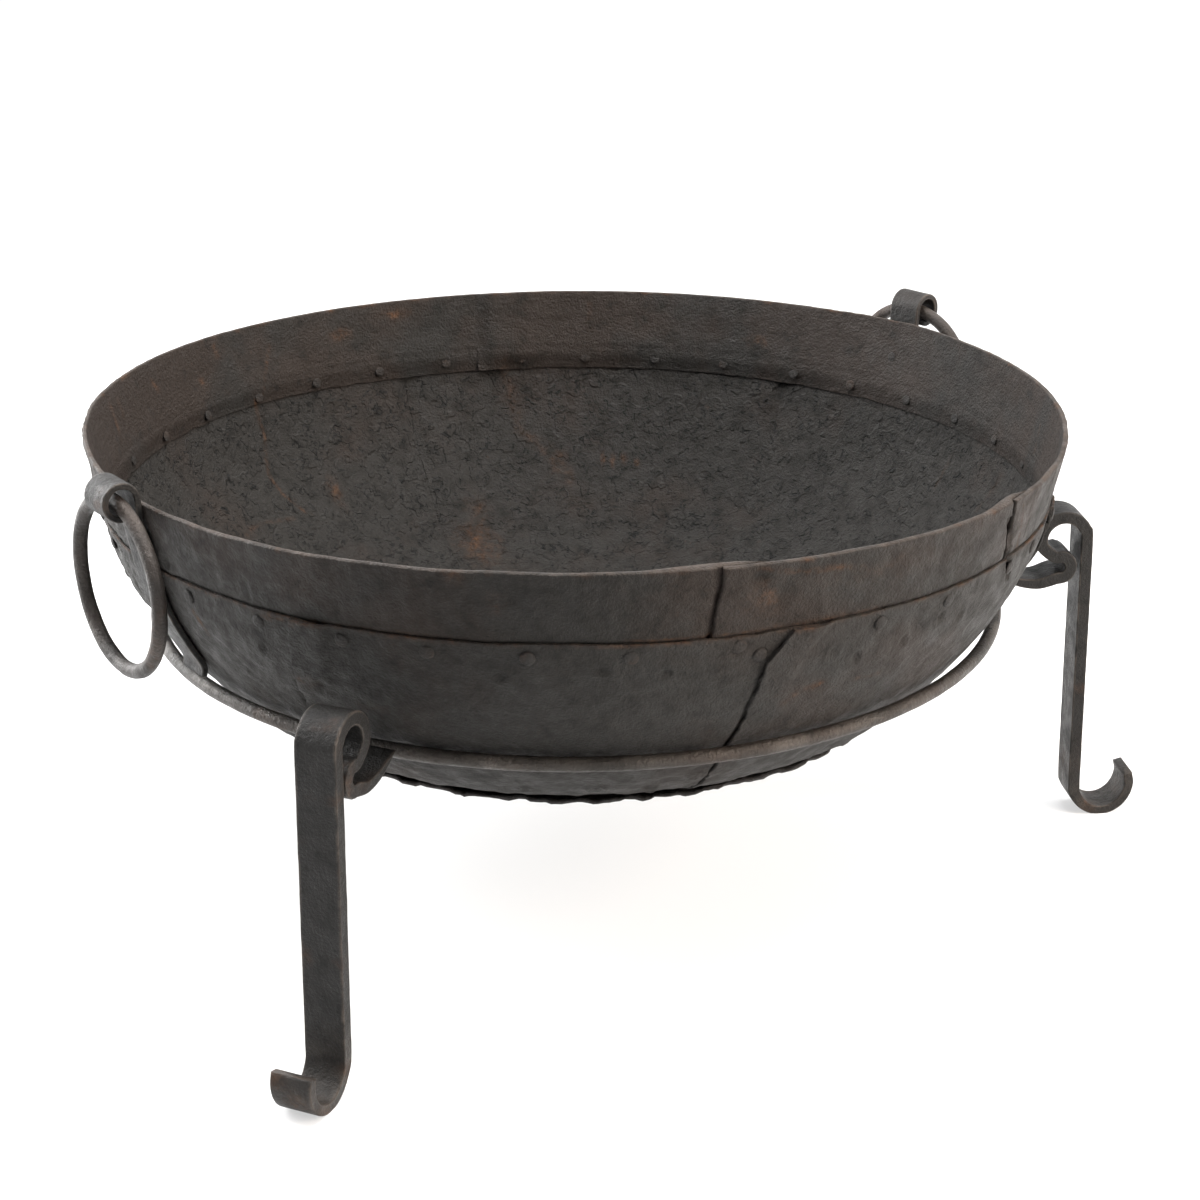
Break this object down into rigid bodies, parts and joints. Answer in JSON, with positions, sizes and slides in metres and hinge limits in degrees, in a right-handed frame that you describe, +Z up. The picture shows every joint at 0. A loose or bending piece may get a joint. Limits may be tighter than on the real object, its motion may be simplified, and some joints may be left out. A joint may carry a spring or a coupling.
{
  "type": "charcoal fire bowl on a stand",
  "caption": "Wide riveted sheet-iron bowl for burning coal or charcoal, lifting out of a ring stand with scrolled flat-bar legs, with hanging ring handles in rolled strap lugs.",
  "frame": {"origin": "on the floor, at the middle of the whole object's footprint box; the bowl's own upright axis is at x -0.0550, y 0.0264", "axes": "+Z up; -Y is the side the picture was taken from, with one leg towards +X"},
  "size_m": [1.0078, 0.9862, 0.4699],
  "materials": {
    "band_iron": "hammered, brown-black scale with rust specks",
    "plate_iron": "hammered and pitted, grey-black with rust along the seams",
    "dish_iron": "hammered, dented, sooty black",
    "bar_iron": "forged bar, satin brown-black with worn edges",
    "handle_iron": "round bar worn smooth, satin",
    "rivet_iron": "hammered heads, dark"
  },
  "bodies": {
    "stand": {"stand_ring": "bar_iron", "leg_front": "bar_iron", "leg_right": "bar_iron", "leg_rear": "bar_iron"},
    "bowl": {"rim_band_plate_1": "band_iron", "rim_band_plate_2": "band_iron", "rim_band_plate_3": "band_iron", "side_plate_1": "plate_iron", "side_plate_2": "plate_iron", "side_plate_3": "plate_iron", "side_plate_4": "plate_iron", "side_plate_5": "plate_iron", "side_plate_6": "plate_iron", "bottom_dish": "dish_iron", "lug_left": "bar_iron", "lug_rear": "bar_iron", "lap_rivet_01": "rivet_iron", "lap_rivet_02": "rivet_iron", "lap_rivet_03": "rivet_iron", "lap_rivet_04": "rivet_iron", "lap_rivet_05": "rivet_iron", "lap_rivet_06": "rivet_iron", "lap_rivet_07": "rivet_iron", "lap_rivet_08": "rivet_iron", "lap_rivet_09": "rivet_iron", "lap_rivet_10": "rivet_iron", "lap_rivet_11": "rivet_iron", "lap_rivet_12": "rivet_iron", "lap_rivet_13": "rivet_iron", "lap_rivet_14": "rivet_iron", "lap_rivet_15": "rivet_iron", "lap_rivet_16": "rivet_iron", "lap_rivet_17": "rivet_iron", "lap_rivet_18": "rivet_iron", "lap_rivet_19": "rivet_iron", "lap_rivet_20": "rivet_iron", "lap_rivet_21": "rivet_iron", "lap_rivet_22": "rivet_iron", "lap_rivet_23": "rivet_iron", "lap_rivet_24": "rivet_iron", "lap_rivet_25": "rivet_iron", "lap_rivet_26": "rivet_iron", "lap_rivet_27": "rivet_iron", "lap_rivet_28": "rivet_iron", "lap_rivet_29": "rivet_iron", "lap_rivet_30": "rivet_iron", "lap_rivet_31": "rivet_iron", "lap_rivet_32": "rivet_iron", "lap_rivet_33": "rivet_iron", "lap_rivet_34": "rivet_iron", "lug_rivet_left_upper": "rivet_iron", "lug_rivet_left_lower": "rivet_iron", "lug_rivet_rear_upper": "rivet_iron", "lug_rivet_rear_lower": "rivet_iron"},
    "handle_left": {"handle_ring_left": "handle_iron"},
    "handle_rear": {"handle_ring_rear": "handle_iron"}
  },
  "joints": [
    {"name": "bowl_lift", "type": "slide", "parent": "stand", "child": "bowl", "axis": [0, 0, 1], "range_m": [0, 0.35]},
    {"name": "handle_left_swing", "type": "hinge", "parent": "bowl", "child": "handle_left", "pos_m": [-0.43413, -0.24598, 0.44137], "axis": [-0.5835, 0.8121, 0], "range_deg": [-12, 235]},
    {"name": "handle_rear_swing", "type": "hinge", "parent": "bowl", "child": "handle_rear", "pos_m": [0.30011, 0.34063, 0.45087], "axis": [0.6626, -0.749, 0], "range_deg": [-12, 235]}
  ]
}
